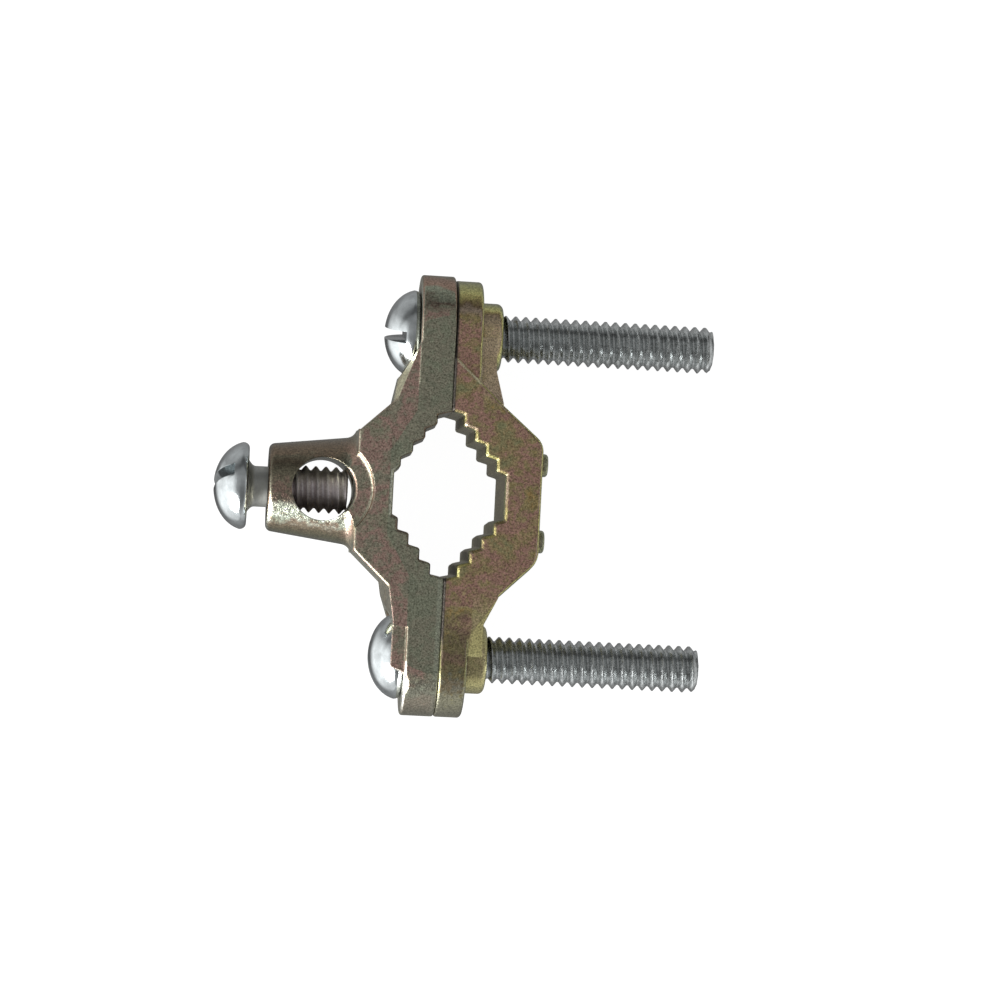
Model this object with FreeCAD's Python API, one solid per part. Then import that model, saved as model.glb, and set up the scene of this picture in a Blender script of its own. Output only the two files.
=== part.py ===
import FreeCAD, Part

import math
import os

# Grounding clamp for a water pipe. Two cast jaws with serrated V notches are drawn together by
# two round-head slotted screws, and a third screw grips the earth wire in a cross hole.
# Millimetres. The clamp lies on its side faces: +Z runs along the pipe, +X from the wire
# terminal towards the screw tips, +Y from one clamp screw to the other. The origin is the
# middle of the pipe opening, on the plane where the jaws meet, level with the lower faces.

# Both castings
jaw_width = 14.0
screw_spacing = 40.5
ear_reach = 7.45
ear_edge_round = 0.5
mating_edge_round = 0.35
casting_draft = 0.5

# Pipe opening: stairs of teeth on four diagonals, with a flat between each pair. These are
# its sizes at mid width; towards both side faces it widens by its own draft. The terminal
# jaw's upper teeth are lower and blunter than the rest.
tooth_count = 4
tooth_run = 1.43
tooth_rise = 1.8
tooth_wall = 1.42
tooth_tip_round = 0.4
tooth_root_round = 0.2
blunt_tooth_wall = 1.1
opening_apex_y = 10.1
apex_drop = 0.3
blunt_apex_drop = 0.45
tooth_edge_round = 0.55
opening_draft = 0.2
terminal_tooth_x = 1.5
terminal_flat_x = 6.55
threaded_tooth_x = 1.3
threaded_flat_x = 6.85

# Terminal jaw
terminal_ear = 4.25
terminal_back_x = 11.35
terminal_shoulder_y = 7.4
terminal_neck_x = 6.7
terminal_neck_y = 11.75
terminal_shoulder_round = 0.8
terminal_edge_round = 0.35

# Strip of the terminal jaw's side faces that runs beside the mating plane and round the
# opening; it slopes down a little from the crease at its outer edge
strip_slope_width = 4.5
strip_slope_depth = 0.22
strip_flat_x = 7.3
strip_flat_y = 5.2
strip_neck_y = 10.3

# Ribs that stiffen the terminal jaw's ears; their backs lean out towards mid width
rib_recess = 0.6
upper_rib_end_y = 21.6
upper_rib_front_y = 18.4
upper_rib_mid_x = 6.5
upper_rib_mid_y = 15.2
upper_rib_start_y = 12.5
upper_rib_foot = 0.3
lower_rib_x = 6.0
lower_rib_shoulder_y = 15.8
lower_rib_step_y = 16.5
lower_rib_end_y = 22.4
lower_rib_chamfer = 0.9
lower_web_x = 7.4
lower_web_y = 12.8
relief_radius = 2.6
relief_x = 6.08
relief_y = 24.1
relief_rise = 0.1
head_pocket_gap = 0.3

# Wire terminal on the back of the terminal jaw
terminal_end_x = 22.2
terminal_end_radius = 5.45
terminal_root_radius = 6.85
terminal_end_round = 0.8
terminal_flare = 1.4
terminal_flare_y = 7.6
wire_hole_x = 15.3
wire_hole_radius = 3.92
wire_hole_chamfer = 0.2
wire_seat_radius = 6.2
wire_seat_depth = 0.7
wire_seat_fillet = 0.6

# Threaded jaw; its outline at mid width
threaded_ear = 3.45
threaded_face_x = 12.1
threaded_upper_y = 7.2
threaded_lower_y = 7.95
threaded_upper_round = 2.4
threaded_lower_round = 3.0
threaded_edge_round = 0.5
upper_neck_x = 6.9
upper_neck_y = 11.6
upper_neck_end_y = 18.1
lower_neck_x = 7.4
lower_neck_y = 12.5
lower_neck_end_y = 23.1
upper_ear_step = 0.4
upper_ear_reach = 6.95
thread_boss_radius = 4.35
thread_boss_end_x = 6.2
thread_boss_round = 0.8
web_x = 5.75
web_crest = 4.4
pad_radius = 1.45
pad_end_x = 12.9
pad_upper_y = 4.55
pad_lower_y = 5.1
pad_round = 0.4

# Screws, quarter inch with twenty threads to the inch; each turn of the thread is a ring
thread_radius = 2.95
thread_root_radius = 2.4
thread_pitch = 1.27
thread_crest = 0.25
thread_clearance = 0.05
shank_clearance = 0.38
neck_radius = 2.65
neck_length = 2.6
neck_fillet = 0.7
head_radius = 5.55
head_height = 4.3
head_rim_round = 0.8
slot_width = 1.4
slot_depth = 2.55
clamp_screw_length = 37.3
terminal_screw_length = 12.4
terminal_screw_gap = 2.4
upper_slot_angle = 11.0
lower_slot_angle = 78.0
terminal_slot_angle = -22.0

mid_z = jaw_width / 2
bolt_y = screw_spacing / 2
ear_end_y = bolt_y + ear_reach
upper_ear_end_y = bolt_y + upper_ear_reach
shank_hole_radius = thread_radius + shank_clearance
thread_hole_radius = thread_radius + thread_clearance
vector = FreeCAD.Vector
ALONG_X = vector(1, 0, 0)


def rounded_face(corners):
    """Plane face at z = 0 through corners (x, y, radius), each corner rounded by its radius."""
    points = [vector(x, y, 0) for x, y, r in corners]
    ends = []
    for i, (x, y, r) in enumerate(corners):
        here = points[i]
        back = (points[i - 1] - here).normalize()
        ahead = (points[(i + 1) % len(points)] - here).normalize()
        half = back.getAngle(ahead) / 2
        reach = r / math.tan(half)
        middle = here + (back + ahead).normalize() * (r / math.sin(half) - r) if r else here
        ends.append((here + back * reach, middle, here + ahead * reach))
    edges = []
    for i, (start, middle, stop) in enumerate(ends):
        if (stop - start).Length > 1e-6:
            edges.append(Part.Arc(start, middle, stop).toShape())
        following = ends[(i + 1) % len(ends)][0]
        if (following - stop).Length > 1e-6:
            edges.append(Part.makeLine(stop, following))
    return Part.Face(Part.Wire(edges))


def plate(corners, low=0.0, high=jaw_width):
    """Prism along Z over a rounded outline."""
    face = rounded_face(corners)
    face.translate(vector(0, 0, low))
    return face.extrude(vector(0, 0, high - low))


def offset_corners(corners, distance):
    """The same outline with every side moved outwards by a distance, for corners in either turn."""
    area = sum(corners[i - 1][0] * c[1] - c[0] * corners[i - 1][1] for i, c in enumerate(corners))
    outwards = distance if area > 0 else -distance
    moved = []
    for i, (x, y, r) in enumerate(corners):
        x_back, y_back, _ = corners[i - 1]
        x_ahead, y_ahead, _ = corners[(i + 1) % len(corners)]
        before = vector(x - x_back, y - y_back, 0).normalize()
        after = vector(x_ahead - x, y_ahead - y, 0).normalize()
        miter = vector(before.y + after.y, -before.x - after.x, 0)
        miter = miter * (outwards / (1 + before.dot(after)))
        moved.append((x + miter.x, y + miter.y, r))
    return moved


def layered_plate(corners, levels):
    """Plate mirrored about mid width, through levels (distance from mid width, growth)."""
    slabs = []
    for side in (-1, 1):
        wires = []
        for distance, growth in levels:
            wire = rounded_face(offset_corners(corners, growth)).OuterWire
            wire.translate(vector(0, 0, mid_z + side * distance))
            wires.append(wire)
        for inner, outer in zip(wires, wires[1:]):
            slabs.append(Part.makeLoft([inner, outer], True, True))
    return slabs[0].fuse(slabs[1:])


def below_plane(shape, points):
    """What is left of a shape under a slanted plane, and over the plane's mirror image."""
    start, stop, crest = points
    along = (stop - start).normalize()
    normal = along.cross(crest - start).normalize()
    if normal.z < 0:
        normal = normal * -1
    size = 6 * jaw_width
    above = Part.makeBox(size, size, size, vector(-size / 2, -size / 2, 0))
    turn = FreeCAD.Rotation(along, normal.cross(along), normal)
    above.Placement = FreeCAD.Placement(start, turn)
    return shape.cut([above, above.mirror(vector(0, 0, mid_z), vector(0, 0, 1))])


def revolved(corners, y=0.0):
    """Solid of revolution about a line along X at mid width, from corners (x, radius, round)."""
    solid = rounded_face(corners).revolve(vector(0, 0, 0), ALONG_X, 360)
    solid.translate(vector(0, y, mid_z))
    return solid


def cylinder_x(radius, x_from, x_to, y=0.0):
    return Part.makeCylinder(radius, x_to - x_from, vector(x_from, y, mid_z), ALONG_X)


def ear_bar(x_from, x_to, end_y=ear_end_y, inset=0.0):
    """Bar along X whose section is the ears': flat sides joined by a half-round at each Y end."""
    reach = mid_z - inset
    straight = end_y - reach
    edges = []
    for side in (1, -1):
        start = vector(x_from, side * straight, mid_z - side * reach)
        tip = vector(x_from, side * end_y, mid_z)
        stop = vector(x_from, side * straight, mid_z + side * reach)
        edges.append(Part.Arc(start, tip, stop).toShape())
        edges.append(Part.makeLine(stop, vector(x_from, -side * straight, mid_z + side * reach)))
    return Part.Face(Part.Wire(edges)).extrude(vector(x_to - x_from, 0, 0))


def edges_where(shape, test):
    """Edges whose sample points all pass the test."""
    return [e for e in shape.Edges if all(test(p) for p in e.discretize(7))]


def on_side_face(p):
    return abs(p.z) < 1e-4 or abs(p.z - jaw_width) < 1e-4


def teeth(tooth_x, flat_x, wall, drop):
    """Corners (x, y, radius) down one flight of teeth, from the apex to the flat."""
    corners = [(0.0, opening_apex_y, 0.0)]
    root_y = opening_apex_y - drop
    for i in range(tooth_count):
        x = tooth_x + i * tooth_run
        corners.append((x, root_y, tooth_root_round))
        corners.append((x, root_y - wall, tooth_tip_round))
        root_y -= tooth_rise
    corners.append((flat_x, root_y, tooth_root_round))
    return corners


def serration(upper, lower, side):
    """Outline of one jaw's notch from its two flights; side is +1 for the threaded jaw."""
    mirrored = [(x, -y, r) for x, y, r in reversed(lower)]
    across = [(-2.0, -opening_apex_y, 0.0), (-2.0, opening_apex_y, 0.0)]
    return [(side * x, y, r) for x, y, r in upper + mirrored + across]


def cut_serration(jaw, outline):
    """Cut the drafted pipe notch through the jaw, its edges rounded over in two steps."""
    levels = [(0, 0)]
    for degrees in (0, 40, 75):
        turn = math.radians(degrees)
        levels.append((mid_z - tooth_edge_round * (1 - math.sin(turn)),
                       opening_draft + tooth_edge_round * (1 - math.cos(turn))))
    last, before = levels[-1], levels[-2]
    levels.append((2 * last[0] - before[0], 2 * last[1] - before[1]))
    return jaw.cut(layered_plate(outline, levels)).removeSplitter()


def terminal_body():
    """Ears and V body of the terminal jaw, one plate with half-round ends and rounded edges."""
    outline = [
        (0, ear_end_y + 1, 0), (-terminal_ear, ear_end_y + 1, 0),
        (-terminal_ear, upper_rib_front_y, 0),
        (-terminal_neck_x, terminal_neck_y, 0),
        (-terminal_back_x, terminal_shoulder_y, terminal_shoulder_round),
        (-terminal_back_x, -terminal_shoulder_y, terminal_shoulder_round),
        (-terminal_neck_x, -terminal_neck_y, 0),
        (-lower_rib_x, -lower_rib_shoulder_y, 0), (-lower_rib_x, -lower_rib_step_y, 0),
        (-terminal_ear, -lower_rib_step_y, 0), (-terminal_ear, -ear_end_y - 1, 0),
        (0, -ear_end_y - 1, 0)]
    body = plate(outline).common(ear_bar(-terminal_end_x, 1))
    mating = edges_where(body, lambda p: abs(p.x) < 1e-4)
    body = body.makeFillet(mating_edge_round, mating)

    def on_outer_edge(p):
        on_ear_end = abs(p.y) > ear_end_y - mid_z - 1e-4 and abs(p.x + terminal_ear) < 1e-4
        on_diagonal = on_side_face(p) and p.x < -terminal_neck_x + 1e-4
        return on_ear_end or on_diagonal
    return body.makeFillet(terminal_edge_round, edges_where(body, on_outer_edge))


def upper_rib():
    """Rib behind the upper ear, its back leaning out from the ear's edge to mid width."""
    outline = [
        (-terminal_ear + 1, upper_rib_end_y, 0), (-terminal_ear, upper_rib_end_y, 0),
        (-upper_rib_mid_x, upper_rib_mid_y, 0),
        (-terminal_neck_x - upper_rib_foot, terminal_neck_y - upper_rib_foot, 0),
        (-terminal_ear + 1, terminal_neck_y - upper_rib_foot, 0)]
    return below_plane(plate(outline), [
        vector(-terminal_ear, upper_rib_front_y, jaw_width - rib_recess),
        vector(-terminal_neck_x, terminal_neck_y, jaw_width),
        vector(-upper_rib_mid_x, upper_rib_mid_y, mid_z)])


def lower_rib():
    """The lower ear's rib, a little lower than the ear, with a chamfered end."""
    return plate([
        (-terminal_ear + 1, -lower_rib_step_y + 1, 0),
        (-lower_rib_x, -lower_rib_step_y + 1, 0),
        (-lower_rib_x, -lower_rib_end_y + lower_rib_chamfer, 0),
        (-terminal_ear, -lower_rib_end_y, 0),
        (-terminal_ear + 1, -lower_rib_end_y, 0)], rib_recess, jaw_width - rib_recess)


def lower_web():
    """Web that fills the neck above the lower rib, slanted down from the side faces."""
    diagonal_x = terminal_neck_x + 2.0
    diagonal_y = terminal_neck_y - 1.8
    outline = [
        (-terminal_ear, -diagonal_y, 0), (-diagonal_x, -diagonal_y, 0),
        (-lower_web_x, -lower_web_y, 0), (-lower_rib_x, -lower_rib_shoulder_y, 0),
        (-terminal_ear, -lower_rib_shoulder_y, 0)]
    return below_plane(plate(outline), [
        vector(-terminal_neck_x, -terminal_neck_y, jaw_width),
        vector(-lower_rib_x, -lower_rib_shoulder_y, jaw_width),
        vector(-lower_web_x, -lower_web_y, mid_z)])


def upper_rib_relief():
    """Two thin wedges that slope the upper rib's faces down towards the end of the ear."""
    far_y = upper_rib_end_y + 1
    wedges = []
    for face, inward in ((0.0, 1), (jaw_width, -1)):
        triangle = Part.makePolygon([
            vector(-terminal_ear, upper_rib_start_y, face),
            vector(-terminal_ear, far_y, face),
            vector(-terminal_ear, far_y, face + inward * rib_recess),
            vector(-terminal_ear, upper_rib_start_y, face)])
        wedges.append(Part.Face(triangle).extrude(vector(-terminal_ear, 0, 0)))
    return wedges


def sloped_strip():
    """Shallow cut that slopes the strip beside the mating plane and round the opening."""
    outline = [(2 * strip_slope_width, 2 * ear_end_y, 0), (-terminal_ear, 2 * ear_end_y, 0),
               (-terminal_ear, strip_neck_y, 0), (-strip_flat_x, strip_flat_y, 0),
               (-strip_flat_x, -strip_flat_y, 0), (-terminal_ear, -strip_neck_y, 0),
               (-terminal_ear, -2 * ear_end_y, 0), (2 * strip_slope_width, -2 * ear_end_y, 0)]
    return layered_plate(outline, [(mid_z - strip_slope_depth, -strip_slope_width),
                                   (mid_z + strip_slope_depth, strip_slope_width)])


def wire_terminal():
    """Tapered round boss that carries the terminal screw, flared where it joins the body."""
    flare_radius = terminal_root_radius + 2 * terminal_flare
    boss = revolved([
        (-terminal_end_x, 0, 0), (-terminal_end_x, terminal_end_radius, terminal_end_round),
        (-terminal_back_x, terminal_root_radius, terminal_flare),
        (-terminal_back_x, flare_radius, 0),
        (-terminal_back_x + 1.0, flare_radius, 0), (-terminal_back_x + 1.0, 0, 0)])
    return boss.common(Part.makeBox(
        terminal_end_x, 2 * terminal_flare_y, jaw_width - 2 * terminal_edge_round,
        vector(-terminal_end_x, -terminal_flare_y, terminal_edge_round)))


def lower_ear_relief():
    """Shallow dished relief in each side face, beside the lower screw's head."""
    return [Part.makeSphere(relief_radius, vector(-relief_x, -relief_y, z))
            for z in (-relief_rise, jaw_width + relief_rise)]


def wire_passage():
    """The wire's cross hole with its broken edges, and the round seat sunk on each side."""
    centre = vector(-wire_hole_x, 0, 0)
    tools = [Part.makeCylinder(wire_hole_radius, jaw_width, centre)]
    for top in (False, True):
        seat = Part.makeCylinder(wire_seat_radius, 2 * wire_seat_depth, centre)
        rim = edges_where(seat, lambda p: abs(p.z) < 1e-4)
        seat = seat.makeFillet(wire_seat_fillet, rim)
        chamfer = Part.makeCone(
            wire_hole_radius, wire_hole_radius + 2 * wire_hole_chamfer,
            2 * wire_hole_chamfer, centre - vector(0, 0, wire_hole_chamfer))
        for tool in (seat, chamfer):
            if not top:
                tool = tool.mirror(centre, vector(0, 0, 1))
            level = jaw_width - wire_seat_depth if top else wire_seat_depth
            tool.translate(vector(0, 0, level))
            tools.append(tool)
    return tools


def terminal_jaw():
    """The cast jaw with the wire terminal; both clamp screws pass through it freely."""
    jaw = terminal_body().fuse([upper_rib(), lower_rib(), lower_web(), wire_terminal()])
    tools = upper_rib_relief() + lower_ear_relief() + wire_passage() + [sloped_strip()]
    for y in (-bolt_y, bolt_y):
        tools.append(cylinder_x(head_radius + head_pocket_gap, -terminal_back_x, -terminal_ear, y))
        tools.append(cylinder_x(shank_hole_radius, -terminal_back_x, 1, y))
    tools.append(cylinder_x(thread_hole_radius, -terminal_end_x - 1, wire_hole_radius - wire_hole_x))
    jaw = jaw.cut(tools)
    upper = teeth(terminal_tooth_x, terminal_flat_x, blunt_tooth_wall, blunt_apex_drop)
    lower = teeth(terminal_tooth_x, terminal_flat_x, tooth_wall, apex_drop)
    return cut_serration(jaw, serration(upper, lower, -1))


def threaded_body():
    """V body of the threaded jaw: drafted from mid width, its outer edges rounded."""
    body = layered_plate([
        (-3, upper_neck_end_y + 2, 0), (0, upper_neck_end_y, 0),
        (upper_neck_x, upper_neck_y, 0),
        (threaded_face_x, threaded_upper_y, threaded_upper_round),
        (threaded_face_x, -threaded_lower_y, threaded_lower_round),
        (lower_neck_x, -lower_neck_y, 0),
        (0, -lower_neck_end_y, 0), (-3, -lower_neck_end_y - 3, 0)],
        [(0, 0), (mid_z, -casting_draft)])
    body = body.makeFillet(threaded_edge_round, edges_where(body, on_side_face))
    keep = Part.makeBox(threaded_face_x, 2 * ear_end_y, jaw_width, vector(0, -ear_end_y, 0))
    mating = edges_where(keep, lambda p: abs(p.x) < 1e-4 and on_side_face(p))
    return body.common(keep.makeFillet(mating_edge_round, mating))


def threaded_ears():
    """The jaw's two ears; the upper one is cast a little thinner and shorter."""
    ears = []
    for side, end_y, inset in ((1, upper_ear_end_y, upper_ear_step), (-1, ear_end_y, 0.0)):
        bar = ear_bar(0, threaded_ear, end_y, inset)
        bar = bar.makeFillet(mating_edge_round, edges_where(bar, lambda p: abs(p.x) < 1e-4))
        outer = edges_where(bar, lambda p: abs(p.x - threaded_ear) < 1e-4)
        bar = bar.makeFillet(ear_edge_round, outer)
        half = Part.makeBox(threaded_ear, ear_end_y - opening_apex_y, jaw_width,
                            vector(0, opening_apex_y if side > 0 else -ear_end_y, 0))
        ears.append(bar.common(half))
    return ears


def thread_boss(side, neck_x, neck_y, neck_end_y, step):
    """Round boss for the screw thread, with a web that slants down from the body's neck."""
    y = side * bolt_y
    boss = revolved([(0, 0, 0), (0, thread_boss_radius, 0),
                     (thread_boss_end_x, thread_boss_radius, thread_boss_round),
                     (thread_boss_end_x, 0, 0)], y)
    web = layered_plate([
        (1, side * threaded_upper_y, 0), (web_x, side * threaded_upper_y, 0),
        (neck_x, side * neck_y, 0), (web_x, side * (bolt_y - thread_boss_radius), 0),
        (web_x, y, 0), (1, y, 0)], [(0, 0), (mid_z, -casting_draft)])
    slope = (neck_end_y - neck_y) / neck_x
    inwards = casting_draft * math.hypot(1, slope)
    web = below_plane(web, [
        vector(0, side * (neck_end_y - inwards), jaw_width - step),
        vector(neck_x, side * (neck_y - inwards), jaw_width - step),
        vector(web_x, y, mid_z + web_crest)])
    return boss.fuse(web)


def outer_pads():
    """Two small round pads on the back of the threaded jaw."""
    return [revolved([(threaded_face_x - 2, 0, 0), (threaded_face_x - 2, pad_radius, 0),
                      (pad_end_x, pad_radius, pad_round), (pad_end_x, 0, 0)], y)
            for y in (-pad_lower_y, pad_upper_y)]


def threaded_jaw():
    """The cast jaw that both clamp screws thread into."""
    bosses = [
        thread_boss(1, upper_neck_x, upper_neck_y, upper_neck_end_y, upper_ear_step),
        thread_boss(-1, lower_neck_x, lower_neck_y, lower_neck_end_y, 0.0)]
    jaw = threaded_body().fuse(threaded_ears() + bosses + outer_pads())
    holes = [cylinder_x(thread_hole_radius, -1, thread_boss_end_x + 1, y) for y in (-bolt_y, bolt_y)]
    jaw = jaw.cut(holes)
    flight = teeth(threaded_tooth_x, threaded_flat_x, tooth_wall, apex_drop)
    return cut_serration(jaw, serration(flight, flight, 1))


def domed_head(x):
    """Half ellipse of revolution whose flat side faces +X at x, its rim rounded."""
    steps = 10
    rim_angle = math.asin(head_rim_round / head_height)
    points = []
    for i in range(steps + 1):
        angle = math.pi / 2 + (rim_angle - math.pi / 2) * i / steps
        across = head_radius * math.cos(angle)
        points.append(vector(x - head_height * math.sin(angle), across, 0))
    curve = Part.BSplineCurve()
    curve.interpolate(points)
    inner = vector(x, head_radius - head_rim_round, 0)
    short = head_rim_round * (1 - math.sqrt(0.5))
    rim = Part.Arc(points[-1], vector(x - short, head_radius - short * 1.1, 0), inner)
    flat = Part.makePolygon([inner, vector(x, 0, 0), points[0]])
    outline = Part.Wire([curve.toShape(), rim.toShape()] + flat.Edges)
    return Part.Face(outline).revolve(vector(0, 0, 0), ALONG_X, 360)


def thread_corners(start, end):
    """Outline of the thread's rings, whole turns counted back from the tip."""
    turns = int((end - start) / thread_pitch)
    flank = (thread_pitch - thread_crest) / 2
    corners = []
    for i in range(turns):
        x = end - (turns - i) * thread_pitch
        corners += [(x, thread_root_radius, 0), (x + flank, thread_radius, 0),
                    (x + flank + thread_crest, thread_radius, 0)]
    return corners


def screw(under_head_x, length, slot_angle, y=0.0, neck=0.0):
    """Round-head slotted screw along +X, with a thicker filleted neck if one is asked for."""
    x = under_head_x
    tip = x + length
    root_radius = neck_radius + neck_fillet
    corners = [(x - 0.5, 0, 0), (x - 0.5, root_radius + 0.1, 0), (x, root_radius + 0.1, 0)]
    if neck:
        corners += [(x, neck_radius, neck_fillet), (x + neck, neck_radius, 0),
                    (x + neck, thread_root_radius, 0)]
    else:
        corners.append((x, thread_root_radius, 0))
    corners += thread_corners(x + neck, tip) + [(tip, thread_root_radius, 0), (tip, 0, 0)]
    solid = domed_head(x)
    shank = rounded_face(corners).revolve(vector(0, 0, 0), ALONG_X, 360)
    solid = solid.fuse(shank).removeSplitter()
    slot = Part.makeBox(slot_depth, slot_width, 4 * head_radius,
                        vector(x - head_height, -slot_width / 2, -2 * head_radius))
    slot.rotate(vector(0, 0, 0), ALONG_X, slot_angle)
    solid = solid.cut(slot)
    solid.translate(vector(0, y, mid_z))
    return solid


def main():
    os.makedirs("parts", exist_ok=True)
    shapes = {
        "terminal_jaw": terminal_jaw(),
        "threaded_jaw": threaded_jaw(),
        "upper_clamp_screw": screw(-terminal_ear, clamp_screw_length, upper_slot_angle, bolt_y),
        "lower_clamp_screw": screw(-terminal_ear, clamp_screw_length, lower_slot_angle, -bolt_y),
        "terminal_screw": screw(-terminal_end_x - terminal_screw_gap, terminal_screw_length,
                                terminal_slot_angle, neck=neck_length),
    }
    for name, shape in shapes.items():
        print(name, shape.isValid(), len(shape.Solids), round(shape.Volume, 2), len(shape.Faces))
        shape.exportStep("parts/" + name + ".step")


main()
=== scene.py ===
import math

import bmesh
import bpy
from mathutils import Matrix, Vector


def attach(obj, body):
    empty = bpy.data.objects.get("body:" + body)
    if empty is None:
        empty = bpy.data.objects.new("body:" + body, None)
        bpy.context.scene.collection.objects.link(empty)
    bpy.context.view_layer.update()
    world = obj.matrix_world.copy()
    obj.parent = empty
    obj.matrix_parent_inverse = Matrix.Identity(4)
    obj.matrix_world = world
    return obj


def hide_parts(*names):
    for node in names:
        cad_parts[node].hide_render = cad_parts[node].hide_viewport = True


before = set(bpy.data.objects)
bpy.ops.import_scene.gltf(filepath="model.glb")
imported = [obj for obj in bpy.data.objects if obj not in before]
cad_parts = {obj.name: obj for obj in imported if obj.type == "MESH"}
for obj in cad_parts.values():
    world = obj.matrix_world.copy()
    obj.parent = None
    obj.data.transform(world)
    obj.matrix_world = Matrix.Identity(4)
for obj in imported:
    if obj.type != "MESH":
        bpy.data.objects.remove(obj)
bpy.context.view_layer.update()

# Looks of the pipe grounding clamp: chromated castings, zinc plated screws with cut threads.
# Sizes are written in millimetres and brought to metres by MM. Only the floor's size, the key
# light's place and size, and the camera's clip start are in metres.
MM = 0.001

# Places of the screws, as in the solids
SCREW_SPACING = 40.5
MID_Z = 7.0
EAR_BACK_X = -4.25
TERMINAL_END_X = -22.2
TERMINAL_SCREW_GAP = 2.4

# Screws: lengths and x are from under the head, slot angles turn from +Z about the axis. The
# shank laps into the head, and a neck runs out over the start of the thread.
CLAMP_SCREW_LENGTH = 37.3
TERMINAL_SCREW_LENGTH = 12.4
UPPER_SLOT_ANGLE = 11.0
LOWER_SLOT_ANGLE = 78.0
TERMINAL_SLOT_ANGLE = -22.0
HEAD_RADIUS = 5.55
HEAD_HEIGHT = 4.3
HEAD_RIM_ROUND = 0.8
HEAD_EDGE_BEVEL = 0.09
HEAD_EDGE_ANGLE = math.radians(35)
HEAD_SHARP_ANGLE = math.radians(30)
SHANK_SHARP_ANGLE = math.radians(25)
SLOT_WIDTH = 1.4
SLOT_DEPTH = 2.55
NECK_LENGTH = 2.6
NECK_RADIUS = 2.55
NECK_RUNOUT = 0.3
FILLET_LENGTH = 0.9
FILLET_RISE = 0.75
FILLET_POWER = 2.2
HEAD_LAP = 0.3
TIP_INSET = 0.5
TIP_CHAMFER = 0.6
TIP_SLOPE = 0.9

# Thread: its root and each flank as shares of the pitch
PITCH = 1.27
MAJOR_RADIUS = 2.93
MINOR_RADIUS = 2.38
ROOT_SHARE = 0.16
FLANK_SHARE = 0.36
CREST_START = ROOT_SHARE + FLANK_SHARE
CREST_END = 1 - FLANK_SHARE
THREAD_PHASES = (
    0.0, ROOT_SHARE / 2, ROOT_SHARE, ROOT_SHARE + FLANK_SHARE / 2,
    CREST_START, (CREST_START + CREST_END) / 2, CREST_END, CREST_END + FLANK_SHARE / 2)

# Fineness of the meshes
HEAD_SEGMENTS = 96
SHANK_SEGMENTS = 48
DOME_STEPS = 24
RIM_STEPS = 6
ON_AXIS = 1e-6
MERGE_DISTANCE = 1e-4

# Chromated castings. Upright is how far a surface faces up or down, from 0 to 1.
BROAD_SIZE = 5.0
MOTTLE_SIZE = 0.8
GRAIN_SIZE = 0.21
SIDE_FACE_UPRIGHT = (0.93, 0.97)
STRIP_LEAN = (0.015, 0.035)
STRIP_SHARE = 0.75
BAND_WANDER = 0.12
RAGGED_EDGE = 2.5
SPECK_SHADES = (0.32, 1.66)
CASTING_ROUGHNESS = (0.3, 0.42)
BRIGHT_ROUGHNESS_SHARE = 0.5
CORNER_ROUND = 0.3
RELIEF_DEPTH = 0.05

# Zinc plated screws
HAZE_SIZE = 1.4
HAZE_SHADE = 0.72
PIT_SIZE = 0.22
PIT_LIMITS = (0.36, 0.5)
PIT_COLOUR = (0.12, 0.12, 0.11)
TURNING_STRETCH = (1.0, 0.25, 0.25)
ROUGHNESS_SWING = (0.8, 1.25)
NECK_FADE = 0.4


# Node helpers
class Graph:
    """A node tree with short calls for what the trees below share."""

    def __init__(self, tree):
        self.tree = tree

    def add(self, kind, **values):
        node = self.tree.nodes.new(kind)
        for key, value in values.items():
            setattr(node, key, value)
        return node

    def link(self, source, target):
        self.tree.links.new(source, target)

    def feed(self, socket, value):
        """Give an input a socket to follow, a colour or a number."""
        if isinstance(value, bpy.types.NodeSocket):
            self.link(value, socket)
        elif isinstance(value, tuple):
            socket.default_value = (*value, 1)
        else:
            socket.default_value = value

    def split(self, vector):
        """The outputs X, Y and Z of a vector."""
        node = self.add("ShaderNodeSeparateXYZ")
        self.link(vector, node.inputs[0])
        return node.outputs

    def math(self, operation, first, second=0.0):
        node = self.add("ShaderNodeMath", operation=operation)
        for socket, value in zip(node.inputs, (first, second)):
            self.feed(socket, value)
        return node.outputs[0]

    def span(self, value, low, high, to_low, to_high):
        """A value between low and high brought to another range, and held at its ends."""
        node = self.add("ShaderNodeMapRange")
        limits = {"From Min": low, "From Max": high, "To Min": to_low, "To Max": to_high}
        for key, number in limits.items():
            node.inputs[key].default_value = number
        self.link(value, node.inputs["Value"])
        return node.outputs["Result"]

    def spread(self, noise, to_low, to_high):
        """Noise, which lies mostly between 0.3 and 0.7, brought to a range."""
        return self.span(noise, 0.3, 0.7, to_low, to_high)

    def ramp(self, value, stops):
        """Colours from (position, colour) pairs over a value from 0 to 1."""
        node = self.add("ShaderNodeValToRGB")
        elements = node.color_ramp.elements
        while len(elements) < len(stops):
            elements.new(0.5)
        for element, (position, colour) in zip(elements, stops):
            element.position = position
            element.color = (*colour, 1)
        self.link(value, node.inputs["Fac"])
        return node.outputs["Color"]

    def mix(self, factor, first, second, how="MIX"):
        """Colour mix; factor and colours may be numbers, colours or sockets."""
        # Input 0 is the factor, inputs 6 and 7 are colours and output 2 is the mixed colour.
        node = self.add("ShaderNodeMix", data_type="RGBA", blend_type=how)
        for i, value in ((0, factor), (6, first), (7, second)):
            self.feed(node.inputs[i], value)
        return node.outputs[2]

    def mix_shaders(self, factor, first, second):
        node = self.add("ShaderNodeMixShader")
        for socket, source in zip(node.inputs, (factor, first, second)):
            self.link(source, socket)
        return node.outputs[0]


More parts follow.
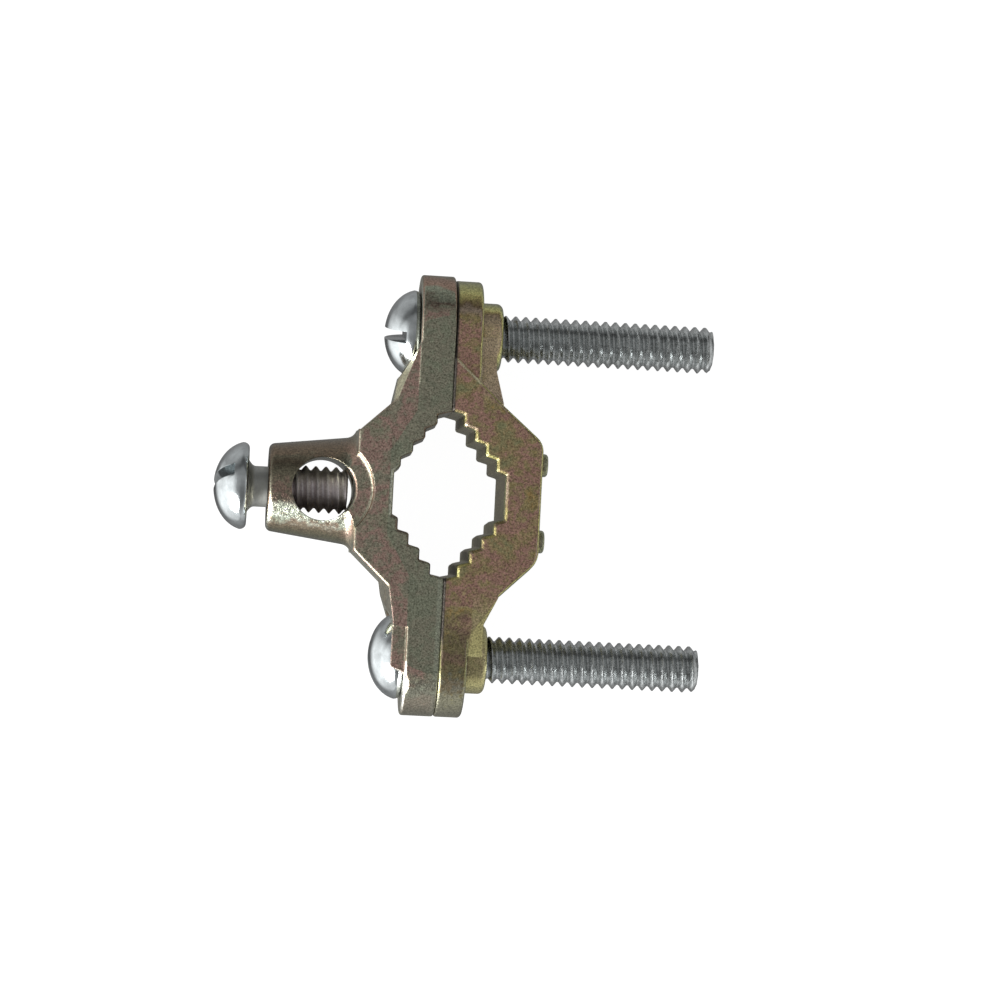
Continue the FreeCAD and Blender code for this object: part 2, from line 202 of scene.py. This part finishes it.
class Surface(Graph):
    """The node tree of a new metal material."""

    def __init__(self, name):
        self.material = bpy.data.materials.new(name)
        self.material.use_nodes = True
        super().__init__(self.material.node_tree)
        self.shader = self.tree.nodes["Principled BSDF"]
        self.shader.inputs["Metallic"].default_value = 1.0
        self.place = self.add("ShaderNodeTexCoord").outputs["Object"]

    def noise(self, size_mm, detail=3.0, roughness=0.55, stretch=None, distortion=0.0):
        """Noise with features of about that size."""
        node = self.add("ShaderNodeTexNoise")
        node.inputs["Scale"].default_value = 1 / (size_mm * MM)
        node.inputs["Detail"].default_value = detail
        node.inputs["Roughness"].default_value = roughness
        node.inputs["Distortion"].default_value = distortion
        place = self.place
        if stretch:
            mapping = self.add("ShaderNodeMapping")
            mapping.inputs["Scale"].default_value = stretch
            self.link(self.place, mapping.inputs["Vector"])
            place = mapping.outputs["Vector"]
        self.link(place, node.inputs["Vector"])
        return node.outputs["Fac"]

    def soft_edges(self, radius_mm):
        """Normal that rounds the corners of a casting a little."""
        node = self.add("ShaderNodeBevel", samples=6)
        node.inputs["Radius"].default_value = radius_mm * MM
        return node.outputs["Normal"]

    def bump(self, height, distance_mm, strength, normal=None):
        node = self.add("ShaderNodeBump")
        node.inputs["Strength"].default_value = strength
        node.inputs["Distance"].default_value = distance_mm * MM
        self.link(height, node.inputs["Height"])
        if normal:
            self.link(normal, node.inputs["Normal"])
        return node.outputs["Normal"]

    def finish(self, colour, roughness, normal):
        """Link the shader and return the material."""
        self.link(colour, self.shader.inputs["Base Color"])
        self.link(roughness, self.shader.inputs["Roughness"])
        self.link(normal, self.shader.inputs["Normal"])
        return self.material


def chromated_casting(name, patches, bands, regions, strip=None, bright_x=None):
    """Satin casting under a yellow chromate coat. The film's tint drifts in patches on the flat
    side faces and goes through bands of colour where the surface turns away from them; the bands
    are partly the film's tint and partly painted light and shade. It takes a region's colour to
    the share stated, inside limits on place (mm), normal or mottle: each limit lets the colour in
    from its first value to its second. Several regions are painted highlights, and some painted
    shade. The strip is the tint of side faces that lean a little towards +X. Beyond bright_x
    towards -X the coat is smoother."""
    n = Surface(name)
    broad = n.noise(BROAD_SIZE, detail=2.0, distortion=0.6)
    mottle = n.noise(MOTTLE_SIZE, detail=3.0, roughness=0.7)
    grain = n.noise(GRAIN_SIZE, detail=3.0, roughness=0.75)
    swing = n.math("SUBTRACT", mottle, 0.5)
    place = n.split(n.place)
    facing = n.split(n.add("ShaderNodeNewGeometry").outputs["Normal"])
    upright = n.math("ABSOLUTE", facing["Z"])

    def stirred(value, amount):
        """The value with the mottle's swing, so that limits on it come out uneven."""
        return n.math("ADD", value, n.math("MULTIPLY", swing, amount))

    tint = n.ramp(stirred(broad, 0.5), patches)
    if strip:
        lean = stirred(facing["X"], 0.03)
        tint = n.mix(n.span(lean, *STRIP_LEAN, 0.0, STRIP_SHARE), tint, strip)
    # Bands by how far a surface turns from the side faces: partly the film's tint, partly painted
    # light and shade
    wander = stirred(n.spread(broad, -BAND_WANDER, BAND_WANDER), 0.22)
    tilt_tint_and_shade = n.ramp(n.math("ADD", upright, wander), bands)
    tint = n.mix(n.span(upright, *SIDE_FACE_UPRIGHT, 1.0, 0.0), tint, tilt_tint_and_shade)

    raggedness = n.spread(mottle, -RAGGED_EDGE * MM, RAGGED_EDGE * MM)
    lengths = {"x": place["X"], "y": place["Y"], "z": place["Z"],
               "ragged_y": n.math("ADD", place["Y"], raggedness)}
    shares = {"nx": facing["X"], "ny": stirred(facing["Y"], 0.3), "upright": upright,
              "mottle": mottle}
    for limits, share, colour in regions:
        inside = share
        for key, start, end in limits:
            if key in lengths:
                within = n.span(lengths[key], start * MM, end * MM, 0.0, 1.0)
            else:
                within = n.span(shares[key], start, end, 0.0, 1.0)
            inside = n.math("MULTIPLY", within, inside)
        tint = n.mix(inside, tint, colour)

    speck = n.spread(grain, *SPECK_SHADES)
    grey = n.add("ShaderNodeCombineColor")
    for socket in grey.inputs:
        n.link(speck, socket)
    tint = n.mix(1.0, tint, grey.outputs[0], "MULTIPLY")
    roughness = n.spread(mottle, *CASTING_ROUGHNESS)
    if bright_x is not None:
        smoother = n.span(
            place["X"], bright_x * MM, (bright_x - 1) * MM, 1.0, BRIGHT_ROUGHNESS_SHARE)
        roughness = n.math("MULTIPLY", roughness, smoother)
    relief = n.bump(mottle, RELIEF_DEPTH, strength=0.5, normal=n.soft_edges(CORNER_ROUND))
    relief = n.bump(grain, RELIEF_DEPTH, strength=0.8, normal=relief)
    return n.finish(tint, roughness, relief)


def zinc_plate(name, colour, roughness, marks_size, relief, speck=0.0, neck=None):
    """Bright zinc on turned steel: turning marks round the axis, a slight haze and, to the share
    speck, dark pits. A neck, given as the x where it ends and its colour, takes that colour in
    place of the plate's."""
    n = Surface(name)
    haze = n.noise(HAZE_SIZE, detail=3.0)
    marks = n.noise(marks_size, detail=2.0, stretch=TURNING_STRETCH)
    pits = n.noise(PIT_SIZE, detail=3.0, roughness=0.7)
    hazed = tuple(c * HAZE_SHADE for c in colour)
    tint = n.ramp(haze, ((0.3, hazed), (0.7, colour)))
    tint = n.mix(n.span(pits, *PIT_LIMITS, speck, 0.0), tint, PIT_COLOUR)
    if neck:
        end, neck_colour = neck
        along = n.split(n.place)["X"]
        tint = n.mix(n.span(along, end * MM, (end + NECK_FADE) * MM, 1.0, 0.0), tint, neck_colour)
    smoothest, roughest = (roughness * swing for swing in ROUGHNESS_SWING)
    return n.finish(tint, n.spread(marks, smoothest, roughest),
                    n.bump(marks, relief, strength=0.6))


# Screws
def lathe(profile, segments):
    """Closed mesh of revolution about X from (x, radius) pairs whose ends lie on the axis."""
    work = bmesh.new()
    angles = [2 * math.pi * i / segments for i in range(segments)]
    rings = []
    for x, radius in profile:
        if radius < ON_AXIS:
            rings.append([work.verts.new((x, 0, 0))])
        else:
            rings.append([work.verts.new((x, radius * math.cos(a), radius * math.sin(a)))
                          for a in angles])
    for low, high in zip(rings, rings[1:]):
        for i in range(segments):
            j = (i + 1) % segments
            corners = [low[i % len(low)], low[j % len(low)],
                       high[j % len(high)], high[i % len(high)]]
            work.faces.new(list(dict.fromkeys(corners)))
    bmesh.ops.recalc_face_normals(work, faces=work.faces)
    return work


def head_profile():
    """Half ellipse with a rounded rim and a flat underside at x = 0."""
    rim_angle = math.asin(HEAD_RIM_ROUND / HEAD_HEIGHT)
    points = []
    for i in range(DOME_STEPS + 1):
        angle = math.pi / 2 + (rim_angle - math.pi / 2) * i / DOME_STEPS
        points.append((-HEAD_HEIGHT * math.sin(angle), HEAD_RADIUS * math.cos(angle)))
    rim_x, rim_radius = points[-1]
    flat_radius = HEAD_RADIUS - HEAD_RIM_ROUND
    for i in range(1, RIM_STEPS + 1):
        angle = math.pi / 2 * i / RIM_STEPS
        points.append((rim_x * (1 - math.sin(angle)),
                       flat_radius + (rim_radius - flat_radius) * math.cos(angle)))
    return points + [(0, 0)]


def as_object(name, work):
    mesh = bpy.data.meshes.new(name)
    work.to_mesh(mesh)
    work.free()
    made = bpy.data.objects.new(name, mesh)
    bpy.context.scene.collection.objects.link(made)
    return made


def apply_modifiers(obj):
    """Bake the object's modifiers into a mesh of its own."""
    evaluated = obj.evaluated_get(bpy.context.evaluated_depsgraph_get())
    mesh = bpy.data.meshes.new_from_object(evaluated)
    obj.modifiers.clear()
    obj.data = mesh


def slotted_head(name, slot_angle):
    head = as_object(name, lathe(head_profile(), HEAD_SEGMENTS))
    cutter = bmesh.new()
    bmesh.ops.create_cube(cutter, size=1)
    bmesh.ops.scale(cutter, vec=(SLOT_DEPTH * 2, SLOT_WIDTH, 4 * HEAD_RADIUS), verts=cutter.verts)
    bmesh.ops.translate(cutter, vec=(-HEAD_HEIGHT, 0, 0), verts=cutter.verts)
    turn = Matrix.Rotation(math.radians(slot_angle), 3, "X")
    bmesh.ops.rotate(cutter, matrix=turn, verts=cutter.verts)
    tool = as_object(name + "_slot", cutter)
    cut = head.modifiers.new("slot", "BOOLEAN")
    cut.operation = "DIFFERENCE"
    cut.object = tool
    edge = head.modifiers.new("edge", "BEVEL")
    edge.width = HEAD_EDGE_BEVEL
    edge.segments = 2
    edge.limit_method = "ANGLE"
    edge.angle_limit = HEAD_EDGE_ANGLE
    apply_modifiers(head)
    bpy.data.objects.remove(tool)
    return head


def thread_radius(phase):
    """Radius of a cut thread at a phase from 0 to 1 of its pitch: root, flank, crest, flank."""
    depth = MAJOR_RADIUS - MINOR_RADIUS
    if phase < ROOT_SHARE:
        return MINOR_RADIUS
    if phase < CREST_START:
        return MINOR_RADIUS + depth * (phase - ROOT_SHARE) / FLANK_SHARE
    if phase < CREST_END:
        return MAJOR_RADIUS
    return MAJOR_RADIUS - depth * (phase - CREST_END) / FLANK_SHARE


def shank_radius(x, phase, length, neck):
    """Radius at x from under the head. It shrinks to nothing past both ends, which closes them."""
    radius = thread_radius(phase)
    if neck:
        if x < neck:
            radius = NECK_RADIUS
        elif x < neck + NECK_RUNOUT:
            radius = max(radius, NECK_RADIUS)
        if x < FILLET_LENGTH:
            radius += FILLET_RISE * (1 - max(x, 0.0) / FILLET_LENGTH) ** FILLET_POWER
        if neck < x < neck + PITCH:
            radius = NECK_RADIUS + (radius - NECK_RADIUS) * (x - neck) / PITCH
    tip_radius = MAJOR_RADIUS - TIP_INSET
    if x > length:
        radius = min(radius, tip_radius) * max(0.0, 1 - (x - length) / PITCH)
    elif x > length - TIP_CHAMFER:
        radius = min(radius, tip_radius + (length - x) * TIP_SLOPE)
    if x < -HEAD_LAP:
        radius *= max(0.0, 1 + (x + HEAD_LAP) / PITCH)
    return radius


def threaded_shank(name, length, neck):
    """Shank from just inside the head: a filleted neck, if one is asked for, then a helical
    thread. Each row of points follows the helix for one turn."""
    turns = int(length / PITCH) + 2
    rows = [(turn + phase, phase) for turn in range(-1, turns) for phase in THREAD_PHASES]

    def point(row, phase, i):
        angle = 2 * math.pi * i / SHANK_SEGMENTS
        x = PITCH * (row + i / SHANK_SEGMENTS)
        radius = shank_radius(x, phase, length, neck)
        x = min(max(x, -HEAD_LAP), length)
        return Vector((x, radius * math.cos(angle), radius * math.sin(angle)))

    work = bmesh.new()
    grid = [[work.verts.new(point(row, phase, i)) for i in range(SHANK_SEGMENTS + 1)]
            for row, phase in rows]
    for low, high in zip(grid, grid[1:]):
        for i in range(SHANK_SEGMENTS):
            work.faces.new((low[i], low[i + 1], high[i + 1], high[i]))
    bmesh.ops.remove_doubles(work, verts=work.verts, dist=MERGE_DISTANCE)
    bmesh.ops.recalc_face_normals(work, faces=work.faces)
    return as_object(name, work)


def screw(node, x, y, length, slot_angle, head_material, shank_material, neck=0.0):
    """A threaded screw that stands for the CAD node of that name."""
    head = slotted_head(node + "_head", slot_angle)
    shank = threaded_shank(node + "_shank", length, neck)
    for piece, material, sharp_angle in ((head, head_material, HEAD_SHARP_ANGLE),
                                         (shank, shank_material, SHANK_SHARP_ANGLE)):
        piece.data.transform(Matrix.Scale(MM, 4) @ Matrix.Translation((x, y, MID_Z)))
        piece.data.materials.clear()
        piece.data.materials.append(material)
        piece.data.shade_smooth()
        piece.data.set_sharp_from_angle(angle=sharp_angle)
        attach(piece, node)
    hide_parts(node)


# Materials, and first the limits that several regions share
WIRE_TERMINAL = ("x", -11.8, -13.2)
EAR_PLATE = ("x", 3.9, 3.6)
BOSSES = ("x", 3.6, 3.9)
EAR_END = ("ragged_y", -22.5, -24.5)

terminal_casting = chromated_casting(
    "terminal_casting",
    patches=(
        (0.30, (0.35, 0.35, 0.26)), (0.42, (0.40, 0.36, 0.27)), (0.53, (0.50, 0.33, 0.28)),
        (0.64, (0.39, 0.35, 0.26)), (0.76, (0.35, 0.36, 0.25))),
    # Bands: the film's tint, with painted light and shade in their lighter and darker stops
    bands=(
        (0.0, (0.36, 0.36, 0.30)), (0.3, (0.28, 0.24, 0.17)), (0.52, (0.36, 0.25, 0.19)),
        (0.68, (0.43, 0.30, 0.23)), (0.77, (0.42, 0.46, 0.35)), (0.84, (0.36, 0.36, 0.27)),
        (0.90, (0.25, 0.19, 0.15)), (0.96, (0.37, 0.37, 0.27))),
    regions=(
        # Painted shade on the wire terminal: darker brown on its upper side, darker in front,
        # darker olive on its lower side
        ((WIRE_TERMINAL, ("ny", 0.1, 0.6)), 0.7, (0.17, 0.13, 0.09)),
        ((WIRE_TERMINAL, ("ny", -0.5, 0.0)), 0.45, (0.19, 0.16, 0.11)),
        ((WIRE_TERMINAL, ("ny", -0.6, -0.9)), 0.6, (0.28, 0.29, 0.18)),
        # Painted highlight: mottled bright band along its lower front
        ((WIRE_TERMINAL, ("ny", -0.28, -0.42), ("ny", -0.8, -0.6), ("mottle", 0.36, 0.56)), 0.9,
         (0.86, 0.92, 0.76)),
        # Painted highlight on the rib behind the upper ear, on its faces towards -X
        ((("x", -4.4, -4.8), ("y", 11.0, 12.0), ("z", 7.0, 11.0), ("nx", -0.3, -0.6)), 0.8,
         (1.0, 0.93, 0.62)),
        # Painted highlight on the back edge of the lower ear
        ((("x", -3.4, -3.6), ("y", -20.6, -21.0), ("z", 9.0, 11.0), ("nx", -0.1, -0.4)), 0.8,
         (1.0, 0.97, 0.88)),
        # Painted highlight: pale line beside the lower ears' joint
        ((("x", -0.75, -0.6), ("y", -9.0, -11.0)), 0.5, (0.5, 0.54, 0.42)),
        # Painted highlight on the flat floor of the notch, where it turns towards +X
        ((("x", -7.5, -7.2), ("y", 3.2, 2.6), ("y", -3.2, -2.6), ("nx", 0.15, 0.4)), 0.7,
         (0.75, 0.78, 0.65)),
        # Dull end of the lower ear
        ((EAR_END, ("nx", -0.4, -0.2)), 0.8, (0.30, 0.29, 0.23))),
    strip=(0.335, 0.365, 0.265), bright_x=-12.0)

threaded_casting = chromated_casting(
    "threaded_casting",
    patches=(
        (0.28, (0.38, 0.37, 0.20)), (0.40, (0.46, 0.36, 0.19)), (0.52, (0.52, 0.30, 0.25)),
        (0.64, (0.44, 0.37, 0.19)), (0.76, (0.48, 0.33, 0.14))),
    # Bands: the film's tint, with painted light and shade in their lighter and darker stops
    bands=(
        (0.0, (0.30, 0.27, 0.18)), (0.35, (0.36, 0.37, 0.22)), (0.55, (0.44, 0.44, 0.21)),
        (0.70, (0.64, 0.62, 0.26)), (0.79, (0.58, 0.51, 0.21)), (0.87, (0.30, 0.22, 0.13)),
        (0.92, (0.40, 0.31, 0.22)), (0.97, (0.54, 0.43, 0.33))),
    regions=(
        # Dark lower ear
        ((EAR_PLATE, ("ragged_y", -14.0, -18.0)), 0.6, (0.16, 0.15, 0.09)),
        # Pale side of the upper boss and its web; yellow lower boss and web, partly tint and
        # partly painted highlight
        ((BOSSES, ("y", 11.5, 14.5), ("upright", 0.75, 0.9)), 0.6, (0.85, 0.68, 0.44)),
        ((BOSSES, ("y", -11.5, -15.0)), 0.7, (0.60, 0.55, 0.29)),
        # Darker slope of the lower web
        ((BOSSES, ("y", -20.0, -19.4), ("y", -13.0, -14.0), ("ny", -0.05, -0.2)), 0.5,
         (0.30, 0.27, 0.11)),
        # Pads on the back
        ((("x", 12.2, 12.4),), 0.8, (0.36, 0.38, 0.28)),
        # Painted highlight: bright streak on the step beside the upper ear
        ((("x", 3.8, 3.2), ("y", 13.0, 14.0), ("y", 21.0, 20.5), ("ny", 0.1, 0.35)), 0.9,
         (1.0, 0.9, 0.6)),
        # Dull end of the lower ear
        ((EAR_PLATE, EAR_END), 0.8, (0.33, 0.32, 0.25)),
        # Dark line where the jaws meet: the joint's gap, with painted shadow on the threaded jaw's
        # edge
        ((("x", 0.45, 0.25), ("y", -19.5, -17.5), ("upright", 0.1, 0.3)), 1.0,
         (0.09, 0.08, 0.07))))

head_zinc = zinc_plate(
    "head_zinc", (0.62, 0.66, 0.67), roughness=0.14, marks_size=0.4, relief=0.01)
thread_zinc = zinc_plate(
    "thread_zinc", (0.67, 0.70, 0.70), roughness=0.24, marks_size=0.12, relief=0.02, speck=0.6)
# Painted light: the terminal screw's thread, which sits in the wire hole, is lighter than the
# clamp screws' thread to stand in for light reaching into the hole; its neck has a darker colour
# of its own
terminal_thread_painted_light_zinc = zinc_plate(
    "terminal_thread_painted_light_zinc", (0.82, 0.76, 0.77), roughness=0.52, marks_size=0.12, relief=0.02,
    speck=0.3, neck=(TERMINAL_END_X, (0.50, 0.51, 0.49)))

for node, material in (("terminal_jaw", terminal_casting), ("threaded_jaw", threaded_casting)):
    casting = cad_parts[node]
    casting.data.materials.clear()
    casting.data.materials.append(material)

for node, side, slot_angle in (("upper_clamp_screw", 1, UPPER_SLOT_ANGLE),
                               ("lower_clamp_screw", -1, LOWER_SLOT_ANGLE)):
    screw(node, EAR_BACK_X, side * SCREW_SPACING / 2, CLAMP_SCREW_LENGTH, slot_angle,
          head_zinc, thread_zinc)
screw("terminal_screw", TERMINAL_END_X - TERMINAL_SCREW_GAP, 0.0, TERMINAL_SCREW_LENGTH,
      TERMINAL_SLOT_ANGLE, head_zinc, terminal_thread_painted_light_zinc, NECK_LENGTH)

# Floor, light and camera. Levels of light go with the turn from straight up (0) to straight
# down (-1 or 1), or with the part of a direction along Y.
FLOOR_SIZE = 2.0
FLOOR_Z = -0.05 * MM
FLOOR_GREY = (0.9, 0.9, 0.9)
FLOOR_GLOW = 1.15
FLOOR_GLOW_SHARE = 0.85
LEVELS_TOWARDS_X = (
    (-0.82, 0.0), (-0.72, 1.3), (-0.36, 1.3), (-0.26, 0.12), (-0.1, 0.0), (0.25, 0.0),
    (0.40, 0.3), (0.60, 0.5), (0.80, 0.0))
SHARES_ALONG_Y = ((-0.8, 0.4), (-0.5, 1.0), (0.08, 1.0), (0.45, 0.08))
LEVELS_TOWARDS_Y = (
    (-1.0, 0.12), (-0.75, 0.35), (-0.5, 0.6), (-0.38, 0.45), (-0.25, 0.2), (-0.12, 0.22),
    (0.0, 0.32), (0.24, 0.32), (0.31, 0.10), (0.40, 0.12), (0.50, 0.4), (0.72, 0.45),
    (1.0, 0.12))
KEY_PLACE = (-0.42, -0.36, 0.16)
KEY_TARGET = (0, 0, 0.007)
KEY_SIZE = 0.4
KEY_WATTS = 6.0
CAMERA_PLACE_MM = (-27.75, -11.81, 380.78)
CAMERA_YAW, CAMERA_PITCH, CAMERA_ROLL = (math.radians(a) for a in (5.33, 1.79, 2.91))
FOCAL_PIXELS = 2979.3
PHOTO_PIXELS = 1000
SENSOR_MM = 36
CLIP_START = 0.01


def ground():
    """White floor that keeps the part's shadow; reflections look through it to the studio."""
    work = bmesh.new()
    bmesh.ops.create_grid(work, x_segments=1, y_segments=1, size=FLOOR_SIZE)
    floor = as_object("floor", work)
    floor.location.z = FLOOR_Z
    material = bpy.data.materials.new("floor")
    material.use_nodes = True
    material.node_tree.nodes.clear()
    n = Graph(material.node_tree)
    ray = n.add("ShaderNodeLightPath").outputs
    diffuse = n.add("ShaderNodeBsdfDiffuse")
    n.feed(diffuse.inputs["Color"], FLOOR_GREY)
    glow = n.add("ShaderNodeEmission")
    n.feed(glow.inputs["Strength"], FLOOR_GLOW)
    clear = n.add("ShaderNodeBsdfTransparent")
    glow_share = n.math("MULTIPLY", ray["Is Camera Ray"], FLOOR_GLOW_SHARE)
    lit = n.mix_shaders(glow_share, diffuse.outputs[0], glow.outputs[0])
    seen = n.mix_shaders(ray["Is Glossy Ray"], lit, clear.outputs[0])
    n.link(seen, n.add("ShaderNodeOutputMaterial").inputs[0])
    floor.data.materials.append(material)


def studio():
    """White backdrop for the camera; for the object a dim room with bright sides."""
    world = bpy.data.worlds.new("studio")
    bpy.context.scene.world = world
    world.use_nodes = True
    world.node_tree.nodes.clear()
    n = Graph(world.node_tree)
    direction = n.split(n.add("ShaderNodeTexCoord").outputs["Generated"])

    def turn_towards(side):
        """Turn from straight up towards +X or +Y, from -1 to 1 for half a turn each way."""
        return n.math("DIVIDE", n.math("ARCTAN2", direction[side], direction["Z"]), math.pi)

    def levels(value, stops):
        """Grey levels from (value, level) pairs over a value from -1 to 1."""
        greys = [((position + 1) / 2, (level, level, level)) for position, level in stops]
        return n.ramp(n.span(value, -1, 1, 0, 1), greys)

    light = n.mix(1.0, levels(turn_towards("X"), LEVELS_TOWARDS_X),
                  levels(direction["Y"], SHARES_ALONG_Y), "MULTIPLY")
    light = n.mix(1.0, light, levels(turn_towards("Y"), LEVELS_TOWARDS_Y), "ADD")
    room = n.add("ShaderNodeBackground")
    n.feed(room.inputs["Color"], light)
    backdrop = n.add("ShaderNodeBackground")
    n.feed(backdrop.inputs["Color"], (1, 1, 1))
    ray = n.add("ShaderNodeLightPath").outputs
    seen = n.mix_shaders(ray["Is Camera Ray"], room.outputs[0], backdrop.outputs[0])
    n.link(seen, n.add("ShaderNodeOutputWorld").inputs[0])


def key_light():
    """Soft round light, low on the photo's lower left."""
    data = bpy.data.lights.new("key", "AREA")
    data.shape = "DISK"
    data.size = KEY_SIZE
    data.energy = KEY_WATTS
    made = bpy.data.objects.new("key", data)
    made.location = KEY_PLACE
    made.rotation_mode = "QUATERNION"
    made.rotation_quaternion = (Vector(KEY_TARGET) - Vector(KEY_PLACE)).to_track_quat("-Z", "Y")
    bpy.context.scene.collection.objects.link(made)


def camera():
    """The photograph's view, nearly square on to the side faces from 0.38 m."""
    level = math.cos(CAMERA_PITCH)
    ahead = Vector((math.sin(CAMERA_YAW) * level, math.sin(CAMERA_PITCH),
                    -math.cos(CAMERA_YAW) * level))
    right = ahead.cross(Vector((0, 1, 0))).normalized()
    up = right.cross(ahead)
    rolled_right = math.cos(CAMERA_ROLL) * right + math.sin(CAMERA_ROLL) * up
    rolled_up = -math.sin(CAMERA_ROLL) * right + math.cos(CAMERA_ROLL) * up
    data = bpy.data.cameras.new("camera")
    data.sensor_width = SENSOR_MM
    data.lens = FOCAL_PIXELS * SENSOR_MM / PHOTO_PIXELS
    data.clip_start = CLIP_START
    made = bpy.data.objects.new("camera", data)
    axes = Matrix((rolled_right, rolled_up, -ahead)).transposed()
    made.matrix_world = Matrix.Translation(Vector(CAMERA_PLACE_MM) * MM) @ axes.to_4x4()
    bpy.context.scene.collection.objects.link(made)
    bpy.context.scene.camera = made


ground()
studio()
key_light()
camera()
bpy.context.scene.view_settings.view_transform = "Standard"
